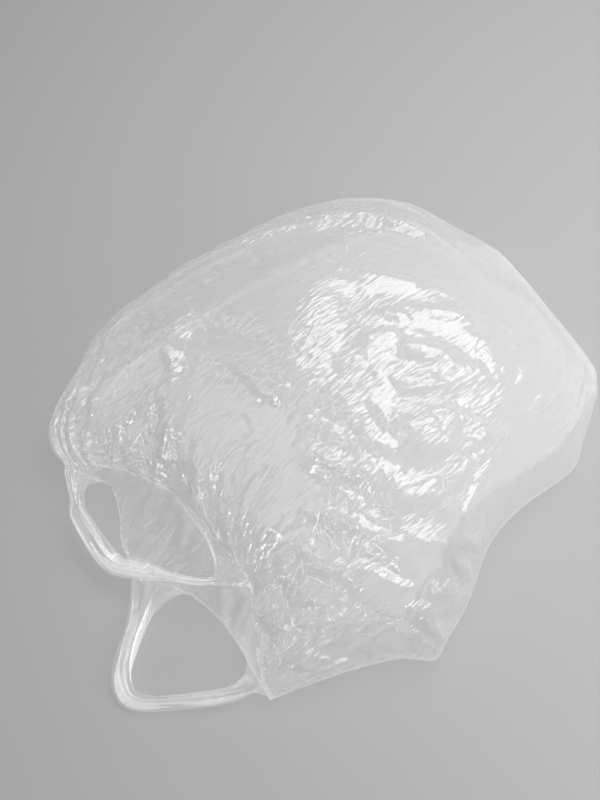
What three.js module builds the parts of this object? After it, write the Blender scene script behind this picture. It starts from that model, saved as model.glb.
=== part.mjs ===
// A plastic carrier bag of clear blown film, lying on its side with air trapped in it.
//
// The bag is one piece: a tube of film, welded flat across the bottom and cut at the top to
// leave a mouth and four legs. The legs are welded in pairs into two handles. The film is
// laid out here as one sheet of quads, ring by ring from the bottom weld to the mouth and
// then along each handle, and the sheet is given its wall at the end.
//
// Millimetres. +X runs along the bag from the handles to the bottom weld, +Y across it,
// and +Z up. The origin is on the resting surface, at the middle of the bag's outline.

import * as THREE from 'three';

// Driving dimensions
const wall = 0.6;            // thickness of the modelled film
const crownHeight = 84;      // how far the trapped air lifts the upper ply above the sides
const hollowDepth = 27;      // how far the upper ply sinks by the far end of the bottom weld
const hollowAlong = 0.15;    // where the hollow is, as a part of the ply's length
const hollowAcross = 0.37;   // and as a part of its width
const hollowLength = 0.088;  // its reach along the ply
const hollowWidth = 0.13;    // and across it
const sealGap = 1.4;         // distance between the two plies at the bottom weld
const pliesAcross = 25;      // steps of film across each ply
const stepsAlong = 20;       // rings of film from the bottom weld to the mouth
const legSteps = 16;         // steps of film along each handle
const legFolds = 8;          // pleats that gather the width of a handle
const legWidth = 19;         // gathered width of a handle
const legDepth = 5;          // height of the pleats in a handle
const seamWidth = 11;        // gathered width at a handle's welded top
const flatStart = 0.16;      // part of the width at each side where the lower ply lifts clear

const ringSize = 2 * pliesAcross;

// Edges of the lying bag, each a smooth curve through points chosen by hand: x, y, z.
function smoothCurve(points) {
  return new THREE.CatmullRomCurve3(points.map((point) => new THREE.Vector3(...point)), false, 'centripetal');
}

const bottomWeld = smoothCurve([
  [211, 57, 3], [227, 36, 2], [240, 16, 1], [237, -20, 1], [230, -57, 1],
  [223, -95, 1], [215, -124, 2], [205, -136, 4], [194, -146, 6],
]);
const farSide = smoothCurve([
  [211, 57, 3], [190, 88, 10], [168, 114, 16], [129, 131, 20], [83, 141, 24], [24, 149, 26], [-33, 152, 26],
  [-91, 149, 24], [-126, 132, 24], [-153, 117, 25], [-171, 101, 26], [-178, 84, 26], [-178, 68, 26],
]);
const nearSide = smoothCurve([
  [194, -146, 6], [153, -168, 12], [122, -182, 18], [70, -180, 20], [30, -186, 20], [-11, -207, 17],
  [-43, -218, 13], [-59, -222, 11], [-78, -206, 12], [-111, -190, 12], [-146, -177, 12], [-168, -170, 12],
]);
const upperRim = smoothCurve([
  [-178, 68, 26], [-152, 40, 28], [-130, -8, 31], [-127, -74, 33], [-127, -96, 31],
  [-135, -112, 27], [-148, -128, 22], [-160, -148, 17], [-168, -170, 12],
]);
const lowerRim = smoothCurve([
  [-178, 68, 26], [-158, 46, 12], [-164, 22, 4], [-176, 2, 2], [-182, -16, 2],
  [-176, -42, 2], [-162, -72, 2], [-158, -112, 4], [-168, -170, 12],
]);
const crownProfile = smoothCurve([
  [0, 0, 0], [0.06, 0, 0.22], [0.16, 0, 0.62], [0.3, 0, 0.93], [0.44, 0, 1], [0.6, 0, 0.99],
  [0.74, 0, 0.83], [0.86, 0, 0.48], [0.95, 0, 0.15], [1, 0, 0],
]);

// Middle lines of the two handles, from one root at the mouth to the other.
const farHandle = smoothCurve([
  [-125, -78, 33], [-138, -86, 30], [-153, -77, 27], [-166, -63, 26], [-178, -46, 24], [-188, -32, 22],
  [-195, -22, 20], [-197, -8, 20], [-195, 16, 20], [-192, 40, 21], [-188, 57, 23], [-180, 64, 25],
]);
const nearHandle = smoothCurve([
  [-153, -168, 14], [-167, -160, 11], [-183, -150, 9], [-202, -139, 8], [-222, -124, 7], [-237, -111, 7],
  [-241, -100, 7], [-234, -86, 7], [-217, -71, 6], [-197, -58, 6], [-182, -48, 5], [-166, -38, 4],
]);

function smoothStep(value) {
  return THREE.MathUtils.smoothstep(value, 0, 1);
}

// A point of one ply, stretched between its four edges. The weld is at along = 0 and the rim
// at along = 1; the far side is at across = 0 and the near side at across = 1.
function stretchPly(rim, across, along) {
  const point = new THREE.Vector3();
  point.addScaledVector(bottomWeld.getPoint(across), 1 - along);
  point.addScaledVector(rim.getPoint(across), along);
  point.addScaledVector(farSide.getPointAt(along), 1 - across);
  point.addScaledVector(nearSide.getPointAt(along), across);
  point.addScaledVector(bottomWeld.getPoint(0), -(1 - across) * (1 - along));
  point.addScaledVector(bottomWeld.getPoint(1), -across * (1 - along));
  point.addScaledVector(rim.getPoint(0), -(1 - across) * along);
  point.addScaledVector(rim.getPoint(1), -across * along);
  return point;
}

// Height of the crown at one ring, read off its profile along the bag.
function crownAt(along) {
  return crownHeight * crownProfile.getPoint(THREE.MathUtils.clamp(along, 0, 1)).z;
}

// Film points crowd a little towards the sides, where the ply turns over.
function placeAcross(step) {
  const part = step / pliesAcross;
  return 0.45 * part + 0.55 * (1 - Math.cos(Math.PI * part)) / 2;
}

// The upper ply sinks near the far end of the bottom weld, where no air lifts it.
function hollowAt(step, along) {
  const down = (along - hollowAlong) / hollowLength;
  const over = (step / pliesAcross - hollowAcross) / hollowWidth;
  return hollowDepth * Math.exp(-down * down - over * over);
}

function upperPoint(step, along) {
  const across = placeAcross(step);
  const point = stretchPly(upperRim, across, along);
  point.z += crownAt(along) * Math.sin(Math.PI * step / pliesAcross) ** 0.62;
  point.z += sealGap * (1 - along) * Math.min(1, step / 2, (pliesAcross - step) / 2);
  point.z -= hollowAt(step, along);
  return point;
}

function lowerPoint(step, along) {
  const across = placeAcross(step);
  const point = stretchPly(lowerRim, across, along);
  const fromSide = Math.min(step, pliesAcross - step) / pliesAcross;
  point.z *= 1 - smoothStep(fromSide / flatStart);
  return point;
}

// One ring of film: over the upper ply from the far side, and back under the lower ply.
function ringPoint(index, along) {
  if (index <= pliesAcross) {
    return upperPoint(index, along);
  }
  return lowerPoint(ringSize - index, along);
}

const points = [];
const faces = [];

function addPoint(point) {
  points.push(point);
  return points.length - 1;
}

// Body of the bag
const rings = [];
for (let ring = 0; ring <= stepsAlong; ring += 1) {
  const row = [];
  for (let index = 0; index < ringSize; index += 1) {
    row.push(addPoint(ringPoint(index, ring / stepsAlong)));
  }
  rings.push(row);
}
for (let ring = 0; ring < stepsAlong; ring += 1) {
  for (let index = 0; index < ringSize; index += 1) {
    const next = (index + 1) % ringSize;
    faces.push([rings[ring][index], rings[ring][next], rings[ring + 1][next], rings[ring + 1][index]]);
  }
}

// Bottom weld: the upper ply is closed onto the lower one, step by step. The two side folds
// end in a triangle.
for (let step = 0; step < pliesAcross; step += 1) {
  const corners = [step, (ringSize - step) % ringSize, ringSize - step - 1, step + 1];
  faces.push([...new Set(corners)].map((corner) => rings[0][corner]));
}

// A handle: two legs of the film, gathered into pleats and welded top to top, so that its
// film runs on from one root on the rim to the other. The rim steps that a leg leaves are
// listed in order across the leg, towards its left (1) or its right (-1). Each leg gathers
// over its own part of the handle's length, its reach.
function addHandle(curve, hand, from, to) {
  const rim = rings[stepsAlong];
  const up = new THREE.Vector3(0, 0, 1);
  const rows = [from.steps.map((step) => rim[step])];
  for (let row = 1; row < legSteps; row += 1) {
    const part = row / legSteps;
    const middle = curve.getPointAt(part);
    const side = new THREE.Vector3().crossVectors(up, curve.getTangentAt(part)).normalize();
    const fromRoot = smoothStep(part / from.reach);
    const toRoot = smoothStep((1 - part) / to.reach);
    const nearSeam = 1 - Math.min(1, Math.abs(part - 0.5) / 0.12);
    const width = THREE.MathUtils.lerp(legWidth, seamWidth, nearSeam);
    rows.push(from.steps.map((step, fold) => {
      const point = middle.clone();
      point.addScaledVector(side, hand * width * (fold / legFolds - 0.5));
      point.z += legDepth * (fold % 2 - 0.5);
      point.lerp(points[rim[step]], 1 - fromRoot);
      point.lerp(points[rim[to.steps[fold]]], 1 - toRoot);
      return addPoint(point);
    }));
  }
  rows.push(to.steps.map((step) => rim[step]));
  for (let row = 0; row < legSteps; row += 1) {
    for (let fold = 0; fold < legFolds; fold += 1) {
      faces.push([rows[row][fold], rows[row][fold + 1], rows[row + 1][fold + 1], rows[row + 1][fold]]);
    }
  }
}

// Steps round the rim, from one step to another in either direction.
function rimSteps(from, to) {
  const direction = Math.sign(to - from);
  return Array.from({ length: legFolds + 1 }, (_, count) => (from + direction * count + ringSize) % ringSize);
}

addHandle(farHandle, 1, { steps: rimSteps(5, 13), reach: 0.17 }, { steps: rimSteps(4, -4), reach: 0.2 });
addHandle(nearHandle, -1, { steps: rimSteps(21, 29), reach: 0.2 }, { steps: rimSteps(38, 30), reach: 0.42 });

// The wall: every film point moves half the wall out on one face and half in on the other,
// and the cut edges of the mouth and handles are closed between the two faces.
function thicken() {
  const sheet = new THREE.BufferGeometry();
  const triangles = faces.flatMap(([a, b, c, d]) => (d === undefined ? [a, b, c] : [a, b, c, a, c, d]));
  sheet.setAttribute('position', new THREE.Float32BufferAttribute(points.flatMap((p) => p.toArray()), 3));
  sheet.setIndex(triangles);
  sheet.computeVertexNormals();

  const outward = new THREE.Vector3();
  const skins = [];
  for (const offset of [wall / 2, -wall / 2]) {
    points.forEach((point, index) => {
      outward.fromBufferAttribute(sheet.attributes.normal, index);
      skins.push(...point.clone().addScaledVector(outward, offset).toArray());
    });
  }

  const inner = points.length;
  const closed = [...triangles];
  for (let corner = 0; corner < triangles.length; corner += 3) {
    closed.push(triangles[corner + 2] + inner, triangles[corner + 1] + inner, triangles[corner] + inner);
  }
  const sides = new Set();
  faces.forEach((face) => face.forEach((start, corner) => {
    sides.add(`${start},${face[(corner + 1) % face.length]}`);
  }));
  for (const side of sides) {
    const [start, end] = side.split(',').map(Number);
    if (!sides.has(`${end},${start}`)) {
      closed.push(end, start, start + inner, end, start + inner, end + inner);
    }
  }

  const solid = new THREE.BufferGeometry();
  solid.setAttribute('position', new THREE.Float32BufferAttribute(skins, 3));
  solid.setIndex(closed);
  return solid;
}

const film = thicken();
film.computeBoundingBox();
const middle = film.boundingBox.getCenter(new THREE.Vector3());
film.translate(-middle.x, -middle.y, -film.boundingBox.min.z);
film.computeVertexNormals();

const clearFilm = new THREE.MeshStandardMaterial({ color: 0xdcdedd, roughness: 0.2, metalness: 0 });
const bagFilm = new THREE.Mesh(film, clearFilm);
bagFilm.name = 'bag_film';

const carrierBag = new THREE.Group();
carrierBag.add(bagFilm);
export default carrierBag;
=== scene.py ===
import math

import bpy
import numpy as np
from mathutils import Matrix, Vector


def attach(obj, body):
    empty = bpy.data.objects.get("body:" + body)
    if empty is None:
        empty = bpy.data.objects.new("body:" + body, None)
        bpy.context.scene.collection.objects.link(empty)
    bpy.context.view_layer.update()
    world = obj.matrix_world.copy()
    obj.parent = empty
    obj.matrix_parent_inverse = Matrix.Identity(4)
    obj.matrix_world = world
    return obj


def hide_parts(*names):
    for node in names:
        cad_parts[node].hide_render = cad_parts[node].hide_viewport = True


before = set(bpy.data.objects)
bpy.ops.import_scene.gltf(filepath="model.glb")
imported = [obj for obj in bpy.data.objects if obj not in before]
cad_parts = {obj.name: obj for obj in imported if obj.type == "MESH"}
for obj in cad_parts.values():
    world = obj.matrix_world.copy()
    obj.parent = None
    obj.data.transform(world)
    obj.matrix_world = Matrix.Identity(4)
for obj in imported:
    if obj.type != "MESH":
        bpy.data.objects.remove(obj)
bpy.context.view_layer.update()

# ---- Table, light and camera ---------------------------------------------------------------
# The bag lies where it was dropped, on a plain pale grey laminate table top, in a white room. Two
# large soft lamps light it, high behind and low to the right. Two more, low to the left and in
# front, only show as glints in the film. It is seen from above its handle end.
looked_at = Vector((0.0027, 0.034, 0.0203))
view_turn = math.radians(-39.6)
view_height = math.radians(60)
view_distance = 0.89
view_right = Vector((math.cos(view_turn), math.sin(view_turn), 0))
view_ahead = Vector((-math.sin(view_turn), math.cos(view_turn), 0))

camera = bpy.data.objects.new("camera", bpy.data.cameras.new("camera"))
camera_back = -math.cos(view_height) * view_ahead + Vector((0, 0, math.sin(view_height)))
camera.location = looked_at + view_distance * camera_back
camera.rotation_euler = (math.pi / 2 - view_height, 0, view_turn)
camera.data.lens = 50
bpy.context.collection.objects.link(camera)
bpy.context.scene.camera = camera


def soft_lamp(name, right, ahead, up, size, power):
    """A round diffused lamp, this far from the bag, turned towards it."""
    lamp = bpy.data.objects.new(name, bpy.data.lights.new(name, "AREA"))
    lamp.data.shape = "DISK"
    lamp.data.size = size
    lamp.data.energy = power
    lamp.location = looked_at + right * view_right + ahead * view_ahead + Vector((0, 0, up))
    lamp.rotation_euler = (lamp.location - looked_at).to_track_quat("Z", "Y").to_euler()
    bpy.context.collection.objects.link(lamp)
    return lamp


soft_lamp("high_lamp", right=0.42, ahead=0.35, up=1.3, size=1.25, power=19.8)
side_lamp = soft_lamp("side_lamp", right=1.15, ahead=-0.45, up=0.75, size=0.9, power=13.2)
side_lamp.visible_glossy = False
low_lamp = soft_lamp("low_lamp", right=-1.4, ahead=-0.05, up=1.0, size=1.5, power=8)
low_lamp.visible_diffuse = False
front_lamp = soft_lamp("front_lamp", right=-0.9, ahead=-1.15, up=0.75, size=0.5, power=6.5)
front_lamp.visible_diffuse = False

room = bpy.data.worlds.new("white_room")
room.use_nodes = True
room.node_tree.nodes["Background"].inputs["Color"].default_value = (0.97, 0.98, 1, 1)
room.node_tree.nodes["Background"].inputs["Strength"].default_value = 0.24
bpy.context.scene.world = room
bpy.context.scene.view_settings.view_transform = "Standard"
bpy.context.scene.cycles.transparent_max_bounces = 48

table_half = 3.0
table_corners = [(-1, -1), (1, -1), (1, 1), (-1, 1)]
table_mesh = bpy.data.meshes.new("table_top")
table_mesh.from_pydata([(table_half * x, table_half * y, 0) for x, y in table_corners], [], [(0, 1, 2, 3)])
table_top = bpy.data.objects.new("table_top", table_mesh)
bpy.context.collection.objects.link(table_top)
laminate = bpy.data.materials.new("pale_grey_laminate")
laminate.use_nodes = True
laminate_finish = laminate.node_tree.nodes["Principled BSDF"]
laminate_finish.inputs["Base Color"].default_value = (0.34, 0.34, 0.336, 1)
laminate_finish.inputs["Roughness"].default_value = 0.75
table_mesh.materials.append(laminate)

# ---- Film bag ------------------------------------------------------------------------------
# The bag is one tube of clear polythene film, 0.015 mm thick and 430 mm wide when it lies flat,
# welded across the bottom. The mouth is cut so that each side stands up as a loop handle, gathered
# to a rope and welded at its tip. The film holds the air that it fell with and is creased all over.

film_width = 430
film_length = 380
across_steps = 200
along_steps = 180
ring_steps = 2 * across_steps


def curve(points, at, even=False):
    """Places on the smooth curve through the points, at values from 0 to 1, by number or by length."""
    knots = np.array(points, float)
    last = len(knots) - 1
    ends = np.vstack([2 * knots[0] - knots[1], knots, 2 * knots[-1] - knots[-2]])

    def read(place):
        cell = np.clip(place.astype(int), 0, last - 1)
        t = (place - cell)[:, None]
        a, b, c, d = ends[cell], ends[cell + 1], ends[cell + 2], ends[cell + 3]
        bend = (2 * a - 5 * b + 4 * c - d) * t**2 + (3 * b - a - 3 * c + d) * t**3
        return 0.5 * (2 * b + (c - a) * t + bend)

    at = np.asarray(at, float)
    if not even:
        return read(at * last)
    fine = np.linspace(0, last, 1500)
    steps = np.linalg.norm(np.diff(read(fine), axis=0), axis=1)
    run = np.concatenate([[0], np.cumsum(steps)])
    return read(np.interp(at * run[-1], run, fine))


def ease(value):
    value = np.clip(value, 0, 1)
    return value * value * (3 - 2 * value)


# The outline of the bag as it lies: the bottom weld, the two side folds and the two rims.
bottom_weld = [
    (211, 57, 3), (227, 36, 2), (240, 16, 1), (237, -20, 1), (230, -57, 1),
    (223, -95, 1), (215, -124, 2), (205, -136, 4), (194, -146, 6),
]
far_side = [
    (211, 57, 3), (190, 88, 10), (168, 114, 16), (129, 131, 20), (83, 141, 24), (24, 149, 26),
    (-33, 152, 26), (-91, 149, 24), (-126, 132, 24), (-153, 117, 25), (-171, 101, 26),
    (-178, 84, 26), (-178, 68, 26),
]
near_side = [
    (194, -146, 6), (153, -168, 12), (122, -182, 18), (70, -180, 20), (30, -186, 20),
    (-11, -207, 17), (-43, -218, 13), (-59, -222, 11), (-78, -206, 12), (-111, -190, 12),
    (-146, -177, 12), (-168, -170, 12),
]
upper_rim = [
    (-178, 68, 26), (-152, 40, 28), (-130, -8, 31), (-127, -74, 33), (-127, -96, 31),
    (-135, -112, 27), (-148, -128, 22), (-160, -148, 17), (-168, -170, 12),
]
lower_rim = [
    (-178, 68, 26), (-158, 46, 12), (-164, 22, 4), (-176, 2, 2), (-182, -16, 2),
    (-176, -42, 2), (-162, -72, 2), (-158, -112, 4), (-168, -170, 12),
]
crown_height = 84
crown_profile = [
    (0, 0), (0.06, 0.22), (0.16, 0.62), (0.3, 0.93), (0.44, 1), (0.6, 0.99),
    (0.74, 0.83), (0.86, 0.48), (0.95, 0.15), (1, 0),
]
weld_gap = 1.4
hollow_depth = 27


def ply(rim, along, across):
    """One ply of the film, stretched between its four edges."""
    weld = curve(bottom_weld, across)[None]
    mouth = curve(rim, across)[None]
    far = curve(far_side, along, even=True)[:, None]
    near = curve(near_side, along, even=True)[:, None]
    u = along[:, None, None]
    s = across[None, :, None]
    corners = (1 - s) * (1 - u) * weld[:, :1] + s * (1 - u) * weld[:, -1:]
    corners = corners + (1 - s) * u * mouth[:, :1] + s * u * mouth[:, -1:]
    return (1 - u) * weld + u * mouth + (1 - s) * far + s * near - corners


along = np.linspace(0, 1, along_steps + 1)
even = np.linspace(0, 1, across_steps + 1)
across = 0.45 * even + 0.55 * (1 - np.cos(math.pi * even)) / 2
crown_line = curve(crown_profile, np.linspace(0, 1, 400))
crown = crown_height * np.interp(along, crown_line[:, 0], crown_line[:, 1])
edge = np.minimum(even, 1 - even)

upper = ply(upper_rim, along, across)
upper[..., 2] += crown[:, None] * np.sin(math.pi * even)[None] ** 0.62
upper[..., 2] += weld_gap * (1 - along)[:, None] * np.minimum(1, edge * 12)[None]
hollow = np.exp(-((along[:, None] - 0.15) / 0.088) ** 2 - ((even[None] - 0.37) / 0.13) ** 2)
upper[..., 2] -= hollow_depth * hollow
lower = ply(lower_rim, along, across)
lower[..., 2] *= 1 - ease(edge / 0.16)[None]
body = np.concatenate([upper, lower[:, -2:0:-1]], axis=1)

# Places on the flat film: how far from the bottom weld, and how far round from the far side fold.
from_weld = film_length * along[:, None] + np.zeros(ring_steps)
around = film_width * np.concatenate([even, 2 - even[-2:0:-1]])[None] + np.zeros((along_steps + 1, 1))
on_top = around <= film_width


def normals(grid):
    """Which way the film faces at each of its points."""
    down = np.gradient(grid, axis=0)
    wide = np.concatenate([grid[:, -1:], grid, grid[:, :1]], axis=1)
    right = np.gradient(wide, axis=1)[:, 1:-1]
    facing = np.cross(down, right)
    return facing / np.maximum(np.linalg.norm(facing, axis=-1, keepdims=True), 1e-9)


def fold(start, end, high, near_ramp, far_ramp):
    """A straight crease: its relief rises over the near ramp, peaks sharply and falls over the far."""
    run, turn = end[0] - start[0], end[1] - start[1]
    size = math.hypot(run, turn)
    down, right = from_weld - start[0], around - start[1]
    place = (down * run + right * turn) / size**2
    off = (right * run - down * turn) / size
    taper = np.sqrt(np.clip(4 * place * (1 - place), 0, 1))
    near_ramp, far_ramp = max(near_ramp, 5), max(far_ramp, 5)
    high = min(high, 0.6 * min(near_ramp, far_ramp))
    ramp = np.where(off < 0, -off / near_ramp, off / far_ramp)
    ramp = np.hypot(ramp, 0.2) - 0.2
    return high * taper * np.clip(1 - ramp / (0.15 + 0.85 * taper), 0, 1)


def patch(middle, reach, turn=0):
    """How much a place belongs to a creased patch: 1 in its middle, fading to 0 round its edge."""
    c, s = math.cos(math.radians(turn)), math.sin(math.radians(turn))
    down, right = from_weld - middle[0], around - middle[1]
    far = np.hypot((down * c + right * s) / reach[0], (right * c - down * s) / reach[1])
    return ease((1.25 - far) / 0.5)


def random_heights(place, seed):
    """Random heights at the corners of a net of triangles, joined by flat facets."""
    leaning = place + (place[..., :1] + place[..., 1:]) * 0.3660254
    corner = np.floor(leaning).astype(np.int64)
    rest = leaning - corner

    def height(i, j):
        mixed = i * 374761393 + j * 668265263 + seed * 2147483647
        mixed = (mixed ^ (mixed >> 13)) * 1274126177
        return ((mixed ^ (mixed >> 16)) & 0xFFFF) / 32767.5 - 1

    i, j = corner[..., 0], corner[..., 1]
    first = rest[..., 0] > rest[..., 1]
    middle = np.where(first, height(i + 1, j), height(i, j + 1))
    most, least = rest.max(-1), rest.min(-1)
    return height(i, j) * (1 - most) + middle * (most - least) + height(i + 1, j + 1) * least


def facets(pitch, stretch, lay, seed):
    """Crumpled film: flat facets of this pitch, drawn out along the lay of the creases."""
    c, s = math.cos(math.radians(lay)), math.sin(math.radians(lay))
    along_lay = (from_weld * c + around * s) / (pitch * stretch)
    across_lay = (around * c - from_weld * s) / pitch
    place = np.stack([along_lay, across_lay], -1)
    warp = np.stack([random_heights(place * 0.43, seed + 11), random_heights(place * 0.43, seed + 23)], -1)
    return random_heights(place + 0.7 * warp, seed)


# Creases, each from one place on the flat film to another, with its height and its two ramps.
creases = [
    # the long ridge down the crown, and what runs out of its foot
    ((178, 146), (282, 170), 8.5, 40, 20),
    ((232, 178), (285, 186), 2, 5, 5),
    ((262, 176), (292, 160), 1.6, 3, 4),
    # behind the ridge's head
    ((182, 148), (144, 192), 4, 9, 6),
    ((191, 151), (172, 174), 2, 4, 4),
    # across the crown
    ((213, 188), (180, 208), 4.5, 14, 5),
    ((182, 186), (166, 210), 2, 5, 4),
    ((156, 209), (127, 234), 2.5, 6, 5),
    ((188, 216), (152, 250), 3.5, 11, 5),
    ((190, 212), (138, 284), 2.6, 14, 9),
    ((139, 242), (122, 257), 1.2, 3, 3),
    ((206, 234), (164, 272), 2.5, 8, 9),
    ((225, 252), (170, 291), 5, 24, 9),
    ((212, 246), (178, 276), 1.5, 5, 5),
    # the hooked patch towards the mouth
    ((240, 200), (252, 224), 3, 6, 12),
    ((288, 201), (274, 241), 4.5, 15, 4),
    ((276, 238), (254, 254), 3.5, 10, 4),
    ((283, 242), (266, 256), 1.5, 5, 3),
    # below it
    ((264, 275), (210, 308), 3.5, 10, 5),
    ((250, 290), (205, 322), 2, 6, 6),
    # fanning from the near flank by the bottom
    ((139, 338), (174, 290), 3, 6, 9),
    ((139, 339), (190, 306), 3.5, 9, 6),
    ((140, 341), (204, 330), 3, 8, 6),
    ((148, 346), (206, 354), 3, 6, 9),
    ((206, 318), (176, 327), 3.5, 8, 8),
    # down to the near corner
    ((238, 334), (190, 400), 3.5, 7, 6),
    ((226, 366), (210, 410), 2, 5, 4),
    ((248, 372), (226, 404), 2, 5, 5),
    ((270, 366), (252, 426), 3, 4, 5),
    ((274, 392), (258, 428), 2.5, 4, 4),
    ((287, 386), (266, 430), 2.5, 4, 4),
    ((304, 320), (278, 380), 5, 9, 20),
    ((322, 292), (262, 352), 2.5, 9, 6),
    # by the mouth, at the near side
    ((324, 262), (356, 262), 3, 5, 6),
    ((348, 258), (378, 282), 3, 5, 6),
    ((340, 308), (318, 338), 4, 6, 12),
    ((318, 336), (340, 350), 3, 10, 5),
    ((362, 300), (350, 334), 4, 9, 6),
    ((350, 330), (356, 372), 3, 6, 6),
    ((338, 352), (352, 396), 2, 6, 5),
    # along the far side, a finger's width in from the fold
    ((338, 50), (222, 50), 2.6, 6, 7),
    ((232, 48), (150, 100), 2.8, 6, 7),
    ((160, 92), (112, 150), 3, 6, 8),
    ((124, 140), (84, 180), 3.4, 6, 9),
    ((112, 146), (96, 162), 2.2, 5, 5),
    # along the near fold, and down the bottom panel
    ((300, 421), (381, 424), 2, 5, 5),
    ((40, 225), (118, 300), 2.2, 9, 16),
    ((55, 276), (122, 342), 2.4, 12, 9),
    ((22, 296), (96, 362), 2, 10, 12),
    ((18, 190), (84, 244), 1.8, 12, 14),
    ((26, 340), (120, 392), 2, 9, 9),
    # the far shoulder
    ((254, 92), (342, 136), 5, 26, 10),
    ((290, 106), (306, 121), 2.5, 5, 5),
    ((306, 119), (330, 124), 2.2, 7, 5),
    ((325, 62), (343, 70), 3, 8, 6),
    ((318, 42), (344, 55), 2, 7, 4),
    ((352, 144), (300, 168), 2.5, 12, 14),
    ((354, 128), (312, 134), 2, 9, 9),
    ((366, 190), (318, 190), 2, 14, 12),
]

# The mouth is gathered into the legs of the handles, so pleats fan out from each leg.
random = np.random.default_rng(4)
gathered_legs = ((198, 74, 12), (388, 52, 9), (630, 100, 15), (12, 70, 10))
for middle, width, number in gathered_legs:
    for place in np.linspace(-0.5, 0.5, number):
        top = middle + width * place
        foot = middle + width * place * 1.5 + random.uniform(-5, 5)
        reach = random.uniform(28, 78)
        creases.append(((384, top), (384 - reach, foot), random.uniform(1.2, 3), 3, random.uniform(3, 7)))

# Crumpled patches: where, how far they reach along and across, their turn, and how rough they are
# in broad facets and in fine ones.
crumples = [
    ((215, 250), (85, 85), 0, 0.5, 0.5),
    ((300, 340), (80, 90), 0, 0.6, 0.6),
    ((308, 198), (34, 62), 0, -0.35, -0.5),
    ((70, 120), (60, 50), 0, 0.2, 0.3),
    ((118, 112), (52, 44), 0, 0.8, 1.1),
    ((325, 120), (60, 90), 0, 0.55, 0.5),
    ((230, 60), (110, 36), 0, 0.4, 0.5),
    ((252, 128), (50, 46), 0, 0.3, 0.6),
    ((228, 166), (48, 13), 13, -0.5, 0.7),
    ((196, 182), (12, 18), 0, 0.5, 0.8),
    ((195, 262), (30, 34), 0, 0.6, 0.9),
    ((262, 222), (26, 32), 0, 0.6, 1.1),
    ((180, 325), (34, 26), 0, 0.6, 1.0),
    ((240, 395), (60, 34), 0, 0.8, 0.9),
    ((318, 300), (26, 18), 0, 0.8, 1.0),
    ((345, 335), (46, 80), 0, 1.3, 0.6),
    ((300, 400), (60, 30), 0, 0.7, 0.4),
    ((372, 60), (24, 60), 0, 0.6, 0.9),
    ((376, 200), (16, 26), 0, 0.9, 1.3),
    ((345, 660), (55, 180), 0, 0.6, 1.1),
    ((60, 260), (70, 130), 0, 0.05, 0.2),
]


def between(grid):
    """The same film with a point more between every two of its points."""
    rows, columns = grid.shape[:2]
    fine = np.empty((2 * rows - 1, 2 * columns, 3), np.float32)
    fine[::2, ::2] = grid
    fine[::2, 1::2] = (grid + np.roll(grid, -1, 1)) / 2
    fine[1::2] = (fine[2::2] + fine[:-1:2]) / 2
    return fine


def ties(shape, spare, step):
    """Every two near points of the film, with the length of film between them and its stiffness.
    The spare length of crumpled film lies across its creases."""
    rows, columns = shape.shape[:2]
    number = np.arange(rows * columns).reshape(rows, columns)
    flat = shape.reshape(-1, 3)
    lie = lay[::step, ::step].reshape(-1)
    spare = spare.reshape(-1)
    found = []
    steps = [(0, 1, 1.0), (1, 0, 1.0), (1, 1, 0.6), (1, -1, 0.6), (0, 2, stiffness), (2, 0, stiffness)]
    for down, right, grip in steps:
        first = number[:rows - down]
        second = np.roll(number, -right, 1)[down:]
        index = np.arange(first.shape[0])[:, None] if down else np.arange(columns)[None]
        turn = np.broadcast_to(index // max(down, abs(right)) % 2, first.shape)
        for half in (0, 1):
            a, b = first[turn == half], second[turn == half]
            across_creases = np.sin(lie[a] - math.atan2(right, down)) ** 2
            longer = 1 + (spare[a] + spare[b]) / 2 * across_creases
            length = np.linalg.norm(flat[b] - flat[a], axis=1) * longer
            found.append((a, b, length.astype(np.float32)[:, None], np.float32(grip / 2)))
    return found


def settle(film, found, home, pull, rounds):
    """Let the film take up its own lengths, near its home shape and above the table."""
    points = film.reshape(-1, 3)
    for _ in range(rounds):
        for a, b, length, grip in found:
            gap = points[b] - points[a]
            size = np.sqrt((gap * gap).sum(1, keepdims=True)) + 1e-6
            gap *= grip * (1 - length / size)
            points[a] += gap
            points[b] -= gap
        film += pull * (home - film)
        np.maximum(film[..., 2], 0.2, out=film[..., 2])


stiffness = 0.08
facing = normals(body)
relief = sum(fold(*crease) for crease in creases)
rim_band = np.exp(-((around - 22) / 26) ** 2) + np.exp(-((around - 840) / 14) ** 2)
rough = 0.7 * rim_band + 0.1 + np.where(on_top, 0, 0.35)
fine_rough = 1.1 * rim_band + 0.15 + np.where(on_top, 0, 0.35)
for middle, reach, turn, broad, fine in crumples:
    here = patch(middle, reach, turn)
    rough = rough + broad * here
    fine_rough = fine_rough + fine * here
rough = np.clip(rough, 0.05, 1.4)
fine_rough = np.clip(fine_rough, 0.05, 1.5)
from_fold = np.concatenate([edge, edge[-2:0:-1]])
loose_ends = ease(along / 0.07)[:, None] * (0.25 + 0.75 * ease(from_fold / 0.04)[None])
relief = relief * loose_ends
target = body + facing * relief[..., None]
lay = np.radians(-53 + 25 * ease((from_weld - 280) / 80) * ease((260 - around) / 100))

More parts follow.
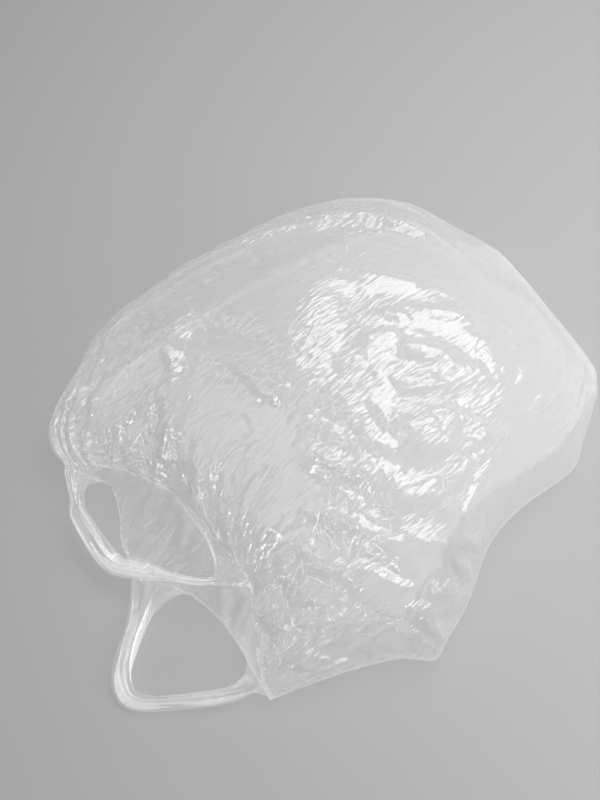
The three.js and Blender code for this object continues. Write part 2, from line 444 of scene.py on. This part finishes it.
# The film settles on three meshes, from coarse to fine. Each has its step, its rounds, the pitch and
# height of its facets, how rough the film is, and the seed of its facets.
film = None
levels = (
    (4, 120, 28, 5.0, rough, 1),
    (2, 50, 13, 2.4, 0.4 * rough + 0.6 * fine_rough, 2),
    (1, 8, 6.5, 0.9, fine_rough, 3),
)
for step, rounds, pitch, high, how_rough, seed in levels:
    home = target[::step, ::step].astype(np.float32)
    seeds = high * facets(pitch, 3.0, -53, seed) * how_rough * loose_ends
    bumps = (facing * seeds[..., None])[::step, ::step].astype(np.float32)
    film = home + bumps + (0 if film is None else between(film - coarse_home))
    spare = (0.001 + 0.05 * rough * loose_ends)[::step, ::step]
    pull = np.where(on_top, 0.02, 0.04) / (0.5 + rough)
    pull[0] = 1
    pull[-1] = 0.2
    settle(film, ties(home, spare, step), home, pull[::step, ::step, None].astype(np.float32), rounds)
    coarse_home = home
body = film.astype(float)

# The four legs of the mouth go over into the two handles, gathered into pleats. Each handle is
# one strip of film from rim to rim, and its middle line runs over its welded tip.
leg_steps = 64
handle_steps = 140
far_handle = [
    (-125, -78, 33), (-138, -86, 30), (-153, -77, 27), (-166, -63, 26), (-178, -46, 24), (-188, -32, 22),
    (-195, -22, 20), (-197, -8, 20), (-195, 16, 20), (-192, 40, 21), (-188, 57, 23), (-180, 64, 25),
]
near_handle = [
    (-153, -168, 14), (-167, -160, 11), (-183, -150, 9), (-202, -139, 8), (-222, -124, 7), (-237, -111, 7),
    (-241, -100, 7), (-234, -86, 7), (-217, -71, 6), (-197, -58, 6), (-182, -48, 5), (-166, -38, 4),
]
points = [body.reshape(-1, 3)]
creased_by_point = [np.clip(0.12 + 0.5 * fine_rough, 0, 1).ravel()]
legs_near = patch((384, 198), (30, 50)) + patch((384, 12), (30, 46)) + patch((384, 388), (40, 34))
legs_near = legs_near + patch((384, 500), (30, 34))
clearer = patch((325, 370), (75, 75)) + 0.5 * patch((235, 335), (36, 45)) + patch((345, 660), (55, 180))
thick_edges = np.exp(-((film_length - from_weld) / 2.5) ** 2) + np.exp(-(from_weld / 3) ** 2)
thick_edges = thick_edges + 0.7 * np.exp(-((around - film_width) / 2.5) ** 2)
gathered = 0.25 + 0.15 * legs_near - 0.25 * clearer + thick_edges
gathered_by_point = [np.clip(gathered, 0, 1).ravel()]
ids = np.arange((along_steps + 1) * ring_steps).reshape(along_steps + 1, ring_steps)
quads = [np.stack([ids[:-1], ids[1:], np.roll(ids, -1, 1)[1:], np.roll(ids, -1, 1)[:-1]], -1).reshape(-1, 4)]


def pleats(number, depth, random):
    """Heights of a gathered strip across its width, folded sharply at uneven places."""
    places = np.sort(np.concatenate([[0, 1], random.uniform(0.02, 0.98, number - 2)]))
    heights = np.where(np.arange(number) % 2, 1, -1) * random.uniform(0.35, 1, number)
    return depth * np.interp(np.linspace(0, 1, leg_steps + 1), places, heights)


def handle(path, hand, start, start_reach, end, end_reach, widths, seed):
    """A handle from the rim points at its start to those at its end, along its middle line."""
    random = np.random.default_rng(seed)
    along_it = np.linspace(0, 1, handle_steps + 1)
    middle = curve(path, along_it, even=True)
    ahead = np.gradient(middle, axis=0)
    ahead /= np.linalg.norm(ahead, axis=1, keepdims=True)
    side = np.cross([0, 0, 1.0], ahead)
    side /= np.linalg.norm(side, axis=1, keepdims=True)
    over = np.cross(ahead, side)

    # Pleats drift slowly from one set into the next along the handle.
    sets = [(pleats(9, 0.5, random), pleats(9, 1.0, random)) for _ in range(5)]
    which = along_it * 3.999
    low, part = which.astype(int), ease(which % 1)[:, None]
    drifts = np.array([s[0] for s in sets])
    stacks = np.array([s[1] for s in sets])
    drift = drifts[low] * (1 - part) + drifts[low + 1] * part
    stack = stacks[low] * (1 - part) + stacks[low + 1] * part
    spread = np.interp(along_it, *zip(*widths))
    place = np.linspace(-0.5, 0.5, leg_steps + 1)[None]
    sideways = spread[:, None] * (0.62 * place + 0.38 * drift)
    upwards = np.interp(along_it, [0, 0.5, 1], [2.6, 3.0, 2.6])[:, None] * stack
    grid = middle[:, None] + hand * side[:, None] * sideways[..., None] + over[:, None] * upwards[..., None]

    first, last = body[-1][start % ring_steps][None], body[-1][end % ring_steps][None]
    grid = first + (grid - first) * ease(along_it / start_reach)[:, None, None]
    grid = last + (grid - last) * ease((1 - along_it) / end_reach)[:, None, None]
    grid[..., 2] = np.maximum(grid[..., 2], 0.3)
    own = np.arange((handle_steps - 1) * (leg_steps + 1)).reshape(handle_steps - 1, leg_steps + 1)
    own += sum(len(placed) for placed in points)
    rows = np.concatenate([ids[-1][start % ring_steps][None], own, ids[-1][end % ring_steps][None]])
    points.append(grid[1:-1].reshape(-1, 3))
    creased_by_point.append(np.full(own.size, 0.4))
    roped = 0.2 + 0.3 * ease(along_it / start_reach - 0.5) * ease((1 - along_it) / end_reach - 0.5)
    gathered_by_point.append(np.repeat(roped[1:-1], leg_steps + 1))
    quads.append(np.stack([rows[:-1, :-1], rows[1:, :-1], rows[1:, 1:], rows[:-1, 1:]], -1).reshape(-1, 4))


leg = np.arange(leg_steps + 1)
far_widths = [(0, 10), (0.12, 9), (0.3, 10), (0.42, 22), (0.52, 21), (0.7, 19), (0.88, 16), (1, 18)]
near_widths = [(0, 16), (0.2, 15), (0.45, 15), (0.55, 20), (0.68, 22), (0.85, 22), (1, 26)]
handle(far_handle, 1, 60 + leg, 0.15, 32 - leg, 0.2, far_widths, 5)
handle(near_handle, -1, 168 + leg, 0.2, 326 - leg, 0.26, near_widths, 9)

# The bag is moved over so that its box stands round the origin, on the table.
shift = np.array([0.00274, 0.03404, 0.0003])
points = np.concatenate(points) / 1000 + shift
quads = np.concatenate(quads)
film_mesh = bpy.data.meshes.new("film_bag")
film_mesh.vertices.add(len(points))
film_mesh.vertices.foreach_set("co", points.ravel())
film_mesh.loops.add(quads.size)
film_mesh.loops.foreach_set("vertex_index", quads.ravel())
film_mesh.polygons.add(len(quads))
film_mesh.polygons.foreach_set("loop_start", np.arange(0, quads.size, 4))
film_mesh.update(calc_edges=True)
film_mesh.validate()
film_mesh.polygons.foreach_set("use_smooth", np.ones(len(quads), bool))
film_mesh.set_sharp_from_angle(angle=math.radians(14))
creased_here = film_mesh.attributes.new("creased", "FLOAT", "POINT")
creased_here.data.foreach_set("value", np.concatenate(creased_by_point))
gathered_here = film_mesh.attributes.new("gathered", "FLOAT", "POINT")
gathered_here.data.foreach_set("value", np.concatenate(gathered_by_point))
film_bag = bpy.data.objects.new("film_bag", film_mesh)
bpy.context.collection.objects.link(film_bag)

# The film itself: clear with a slight haze, whiter where it is gathered or seen edge on, and glossy.
clear_film = bpy.data.materials.new("clear_film")
clear_film.use_nodes = True
nodes = clear_film.node_tree.nodes
link = clear_film.node_tree.links.new
nodes.clear()
output = nodes.new("ShaderNodeOutputMaterial")

see_through = nodes.new("ShaderNodeBsdfTransparent")
see_through.inputs["Color"].default_value = (0.99, 0.99, 0.99, 1)
haze_above = nodes.new("ShaderNodeBsdfDiffuse")
haze_above.inputs["Color"].default_value = (0.95, 0.95, 0.95, 1)
haze_below = nodes.new("ShaderNodeBsdfTranslucent")
haze_below.inputs["Color"].default_value = (0.95, 0.95, 0.95, 1)
haze = nodes.new("ShaderNodeMixShader")
haze.inputs["Fac"].default_value = 0.5
link(haze_above.outputs["BSDF"], haze.inputs[1])
link(haze_below.outputs["BSDF"], haze.inputs[2])

slant = nodes.new("ShaderNodeLayerWeight")
slant.inputs["Blend"].default_value = 0.5
haze_amount = nodes.new("ShaderNodeMapRange")
haze_amount.inputs["From Min"].default_value = 0.0
haze_amount.inputs["From Max"].default_value = 1.0
haze_amount.inputs["To Min"].default_value = 0.17
haze_amount.inputs["To Max"].default_value = 0.54
slant_power = nodes.new("ShaderNodeMath")
slant_power.operation = "POWER"
slant_power.inputs[1].default_value = 3.0
link(slant.outputs["Facing"], slant_power.inputs[0])
link(slant_power.outputs["Value"], haze_amount.inputs["Value"])
hazy = nodes.new("ShaderNodeMixShader")
layers = nodes.new("ShaderNodeAttribute")
layers.attribute_name = "gathered"
thicker = nodes.new("ShaderNodeMapRange")
thicker.inputs["To Min"].default_value = 0.0
thicker.inputs["To Max"].default_value = 0.23
link(layers.outputs["Fac"], thicker.inputs["Value"])
haze_here = nodes.new("ShaderNodeMath")
haze_here.operation = "ADD"
link(haze_amount.outputs["Result"], haze_here.inputs[0])
link(thicker.outputs["Result"], haze_here.inputs[1])
link(haze_here.outputs["Value"], hazy.inputs["Fac"])
link(see_through.outputs["BSDF"], hazy.inputs[1])
link(haze.outputs["Shader"], hazy.inputs[2])

sharp_gloss = nodes.new("ShaderNodeBsdfGlossy")
sharp_gloss.inputs["Roughness"].default_value = 0.075
soft_gloss = nodes.new("ShaderNodeBsdfGlossy")
soft_gloss.inputs["Roughness"].default_value = 0.34
gloss = nodes.new("ShaderNodeMixShader")
gloss.inputs["Fac"].default_value = 0.3
link(sharp_gloss.outputs["BSDF"], gloss.inputs[1])
link(soft_gloss.outputs["BSDF"], gloss.inputs[2])
gloss_amount = nodes.new("ShaderNodeMapRange")
gloss_amount.inputs["To Min"].default_value = 0.07
gloss_amount.inputs["To Max"].default_value = 0.5
slant_steep = nodes.new("ShaderNodeMath")
slant_steep.operation = "POWER"
slant_steep.inputs[1].default_value = 5.0
link(slant.outputs["Facing"], slant_steep.inputs[0])
link(slant_steep.outputs["Value"], gloss_amount.inputs["Value"])
film_finish = nodes.new("ShaderNodeMixShader")
side = nodes.new("ShaderNodeNewGeometry")
dull_inside = nodes.new("ShaderNodeMapRange")
dull_inside.inputs["To Min"].default_value = 1.0
dull_inside.inputs["To Max"].default_value = 0.4
link(side.outputs["Backfacing"], dull_inside.inputs["Value"])
gloss_here = nodes.new("ShaderNodeMath")
gloss_here.operation = "MULTIPLY"
link(gloss_amount.outputs["Result"], gloss_here.inputs[0])
link(dull_inside.outputs["Result"], gloss_here.inputs[1])
link(gloss_here.outputs["Value"], film_finish.inputs["Fac"])
link(hazy.outputs["Shader"], film_finish.inputs[1])
link(gloss.outputs["Shader"], film_finish.inputs[2])

# Its finest crinkles run across the bag, as its creases do, where the film is crumpled.
where = nodes.new("ShaderNodeTexCoord")
crinkle_turn = nodes.new("ShaderNodeMapping")
crinkle_turn.inputs["Rotation"].default_value = (0, 0, math.radians(64))
crinkle_turn.inputs["Scale"].default_value = (60, 230, 180)
crinkles = nodes.new("ShaderNodeTexVoronoi")
crinkles.inputs["Scale"].default_value = 1.0
crinkles.inputs["Detail"].default_value = 1.5
crinkles.inputs["Roughness"].default_value = 0.55
link(where.outputs["Object"], crinkle_turn.inputs["Vector"])
link(crinkle_turn.outputs["Vector"], crinkles.inputs["Vector"])
creased = nodes.new("ShaderNodeAttribute")
creased.attribute_name = "creased"
crinkle = nodes.new("ShaderNodeBump")
crinkle.inputs["Distance"].default_value = 0.0014
link(creased.outputs["Fac"], crinkle.inputs["Strength"])
link(crinkles.outputs["Distance"], crinkle.inputs["Height"])
for shine in (sharp_gloss, soft_gloss, haze_above, haze_below):
    link(crinkle.outputs["Normal"], shine.inputs["Normal"])

# Light passes on through the film to what lies under it, so its shadow is a faint one.
ray = nodes.new("ShaderNodeLightPath")
thin_shadow = nodes.new("ShaderNodeBsdfTransparent")
thin_shadow.inputs["Color"].default_value = (0.9, 0.9, 0.9, 1)
surface = nodes.new("ShaderNodeMixShader")
link(ray.outputs["Is Shadow Ray"], surface.inputs["Fac"])
link(film_finish.outputs["Shader"], surface.inputs[1])
link(thin_shadow.outputs["BSDF"], surface.inputs[2])
link(surface.outputs["Shader"], output.inputs["Surface"])
film_mesh.materials.append(clear_film)

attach(film_bag, "root")
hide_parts("bag_film")
